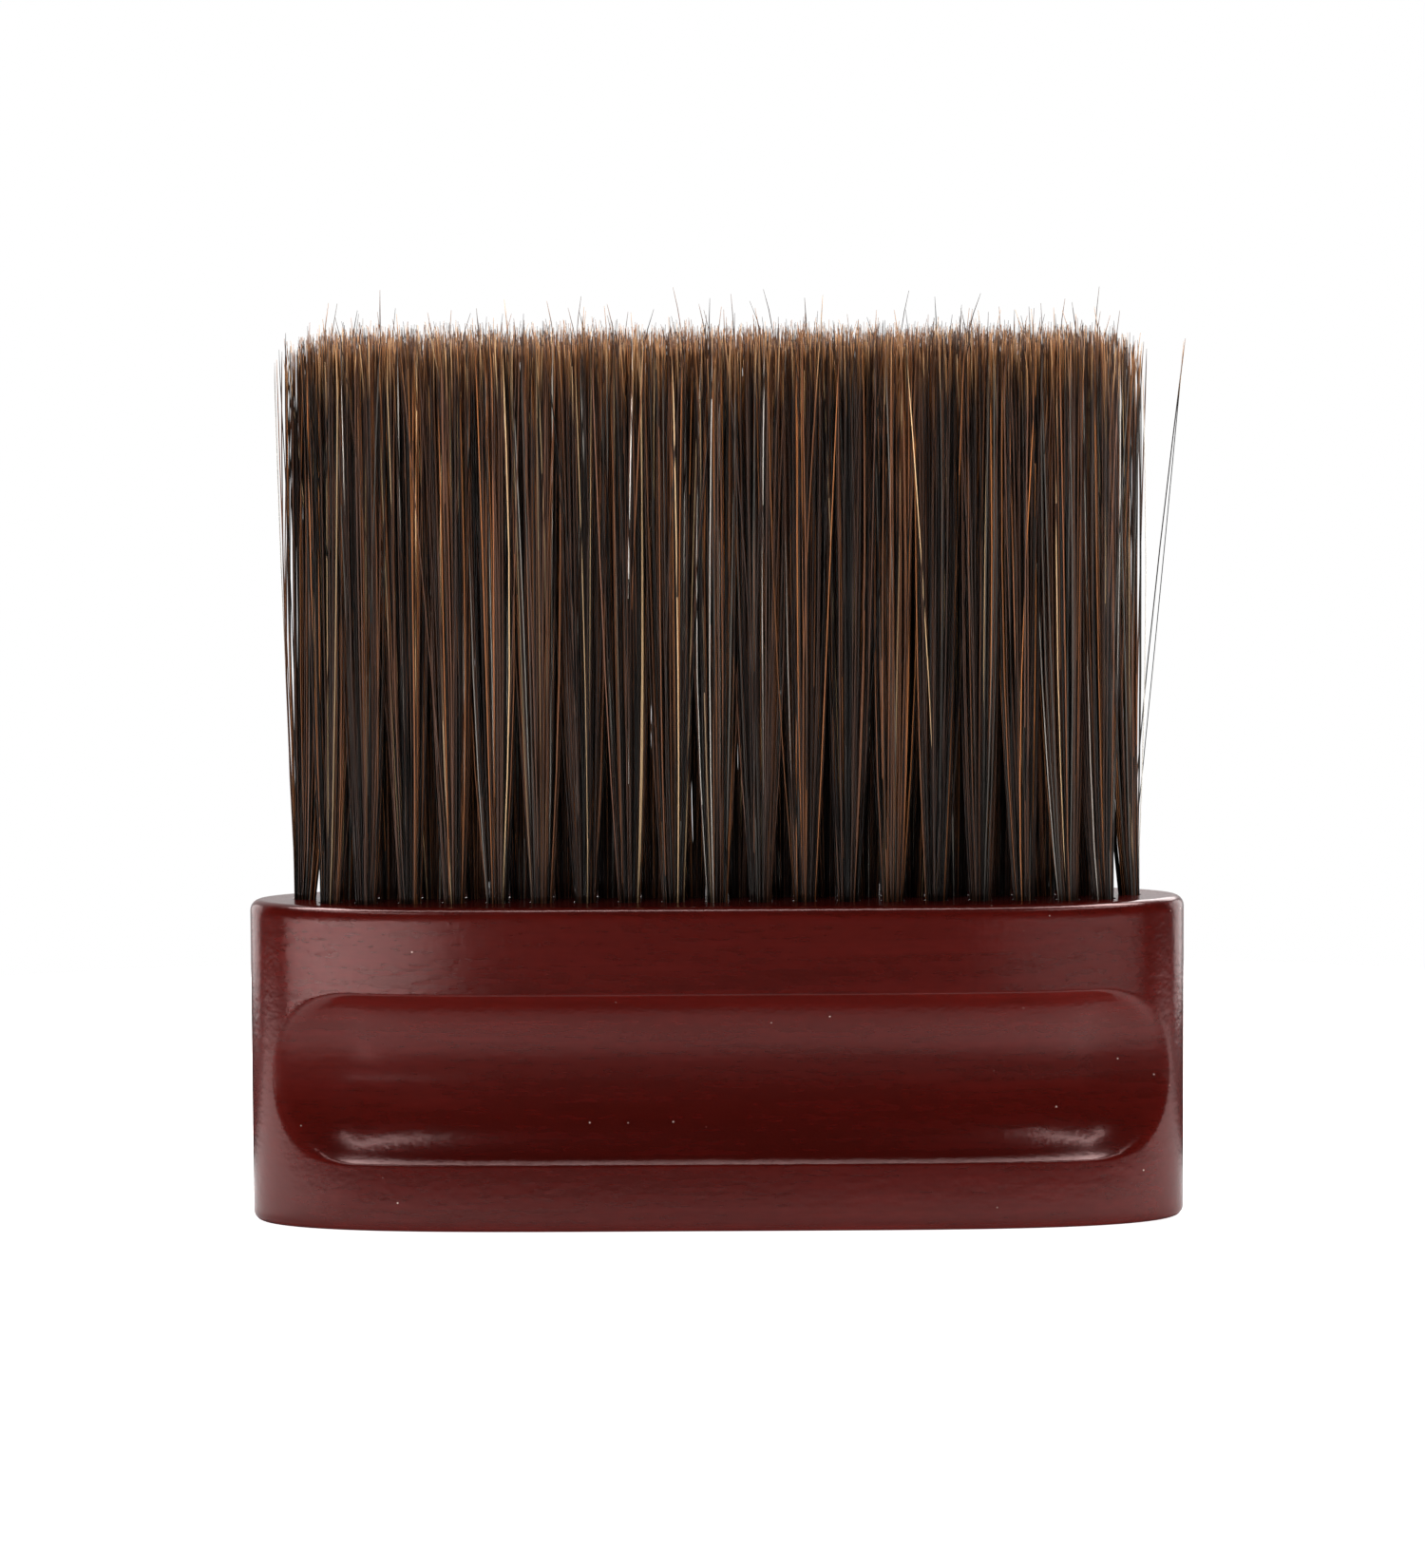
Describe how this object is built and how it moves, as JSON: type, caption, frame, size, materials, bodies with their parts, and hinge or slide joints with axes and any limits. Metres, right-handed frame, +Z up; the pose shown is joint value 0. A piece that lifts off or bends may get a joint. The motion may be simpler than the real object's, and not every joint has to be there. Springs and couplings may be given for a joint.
{
  "type": "neck duster brush",
  "caption": "Palm-held neck duster brush: a lacquered wooden grip block with finger grooves and rows of long soft fibre tufts set in its top.",
  "frame": {"origin": "centre of the flat base that the block stands on", "axes": "+Z up along the fibres, X along the length of the grip block, Y through its thickness, front face towards -Y"},
  "size_m": [0.12, 0.027, 0.115],
  "materials": {
    "lacquered_wood": "clear gloss lacquer over mahogany-red stain, fine grain along the block",
    "brown_fibre": "soft tapered fibres, mixed black, brown and ginger, satin sheen",
    "anchor_wire": "flat steel staple wire, hidden in the holes"
  },
  "bodies": {
    "root": {"handle": "lacquered_wood", "tuft_back_01": "brown_fibre", "tuft_back_02": "brown_fibre", "tuft_back_03": "brown_fibre", "tuft_back_04": "brown_fibre", "tuft_back_05": "brown_fibre", "tuft_back_06": "brown_fibre", "tuft_back_07": "brown_fibre", "tuft_back_08": "brown_fibre", "tuft_back_09": "brown_fibre", "tuft_back_10": "brown_fibre", "tuft_back_11": "brown_fibre", "tuft_back_12": "brown_fibre", "tuft_back_13": "brown_fibre", "tuft_back_14": "brown_fibre", "tuft_back_15": "brown_fibre", "tuft_back_16": "brown_fibre", "tuft_back_17": "brown_fibre", "tuft_back_18": "brown_fibre", "tuft_back_19": "brown_fibre", "tuft_front_01": "brown_fibre", "tuft_front_02": "brown_fibre", "tuft_front_03": "brown_fibre", "tuft_front_04": "brown_fibre", "tuft_front_05": "brown_fibre", "tuft_front_06": "brown_fibre", "tuft_front_07": "brown_fibre", "tuft_front_08": "brown_fibre", "tuft_front_09": "brown_fibre", "tuft_front_10": "brown_fibre", "tuft_front_11": "brown_fibre", "tuft_front_12": "brown_fibre", "tuft_front_13": "brown_fibre", "tuft_front_14": "brown_fibre", "tuft_front_15": "brown_fibre", "tuft_front_16": "brown_fibre", "tuft_front_17": "brown_fibre", "tuft_front_18": "brown_fibre", "tuft_front_19": "brown_fibre", "tuft_middle_01": "brown_fibre", "tuft_middle_02": "brown_fibre", "tuft_middle_03": "brown_fibre", "tuft_middle_04": "brown_fibre", "tuft_middle_05": "brown_fibre", "tuft_middle_06": "brown_fibre", "tuft_middle_07": "brown_fibre", "tuft_middle_08": "brown_fibre", "tuft_middle_09": "brown_fibre", "tuft_middle_10": "brown_fibre", "tuft_middle_11": "brown_fibre", "tuft_middle_12": "brown_fibre", "tuft_middle_13": "brown_fibre", "tuft_middle_14": "brown_fibre", "tuft_middle_15": "brown_fibre", "tuft_middle_16": "brown_fibre", "tuft_middle_17": "brown_fibre", "tuft_middle_18": "brown_fibre", "tuft_middle_19": "brown_fibre", "tuft_middle_20": "brown_fibre"}
  },
  "joints": []
}
